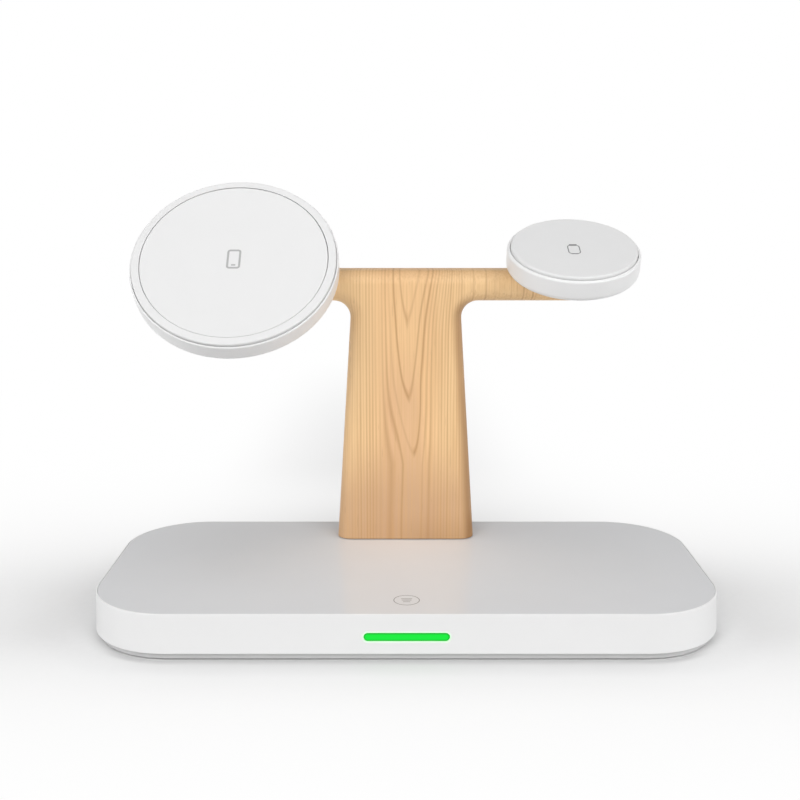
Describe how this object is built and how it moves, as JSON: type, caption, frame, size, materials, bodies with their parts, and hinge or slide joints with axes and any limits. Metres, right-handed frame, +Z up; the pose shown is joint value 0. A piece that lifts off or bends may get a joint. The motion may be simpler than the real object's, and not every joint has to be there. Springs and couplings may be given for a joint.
{
  "type": "wireless charger",
  "caption": "Desk charging stand: flat base, wooden T-shaped stem and two round tilting heads for a phone and a watch.",
  "frame": {"origin": "on the surface that the stand rests on, under the middle of the base", "axes": "+X to the right along the base and the cross arm, the way both tilt hinges point, +Y away from the user towards the power socket, +Z up"},
  "size_m": [0.1712, 0.0782, 0.1213],
  "materials": {
    "white_abs": "satin white moulded plastic",
    "satin_white": "fine satin white plastic",
    "grey_plate": "satin grey, faint blurred reflections",
    "grey_abs": "fine moulded texture",
    "foot_rubber": "matt",
    "ash": "clear satin lacquer, grain upright",
    "steel": "plain",
    "brass": "turned",
    "copper_winding": "enamelled winding",
    "ferrite": "matt, dark",
    "circuit_board": "solder mask",
    "diode_resin": "clear resin",
    "green_light": "lit light guide",
    "wire_jacket": "plain"
  },
  "bodies": {
    "base": {"base_housing": "white_abs", "top_plate": "grey_plate", "bottom_cover": "grey_abs", "foot_front_left": "foot_rubber", "foot_front_right": "foot_rubber", "foot_rear_left": "foot_rubber", "foot_rear_right": "foot_rubber", "cover_screw_front_left": "steel", "cover_screw_front_right": "steel", "cover_screw_rear_left": "steel", "cover_screw_rear_right": "steel", "ballast_left": "steel", "ballast_right": "steel", "earbud_coil": "copper_winding", "earbud_ferrite": "ferrite", "main_board": "circuit_board", "usb_c_socket": "steel", "front_board": "circuit_board", "light_diode_1": "diode_resin", "light_diode_2": "diode_resin", "light_diode_3": "diode_resin", "touch_spring": "steel", "light_bar_lens": "green_light", "stem_front_shell": "ash", "stem_rear_cover": "ash", "stem_insert_left": "brass", "stem_insert_right": "brass", "stem_screw_left": "steel", "stem_screw_right": "steel", "phone_lead_plug": "white_abs", "watch_lead_plug": "white_abs", "phone_lead": "wire_jacket", "watch_lead": "wire_jacket", "phone_hinge_pin": "steel", "watch_hinge_pin": "steel", "phone_washer_inner": "steel", "phone_washer_outer": "steel", "watch_washer_inner": "steel", "watch_washer_outer": "steel"},
    "phone_head": {"phone_housing": "white_abs", "phone_trim_ring": "satin_white", "phone_pad": "satin_white", "phone_magnet_ring": "steel", "phone_coil": "copper_winding", "phone_ferrite": "ferrite", "phone_board": "circuit_board"},
    "watch_head": {"watch_housing": "white_abs", "watch_face": "satin_white", "watch_magnet": "steel", "watch_coil": "copper_winding", "watch_ferrite": "ferrite", "watch_board": "circuit_board"}
  },
  "joints": [
    {"name": "phone_tilt", "type": "hinge", "parent": "base", "child": "phone_head", "pos_m": [-0.049, 0.02445, 0.0921], "axis": [1, 0, 0], "range_deg": [-42, 38]},
    {"name": "watch_tilt", "type": "hinge", "parent": "base", "child": "watch_head", "pos_m": [0.0483, 0.02445, 0.0921], "axis": [1, 0, 0], "range_deg": [-20, 55]}
  ]
}
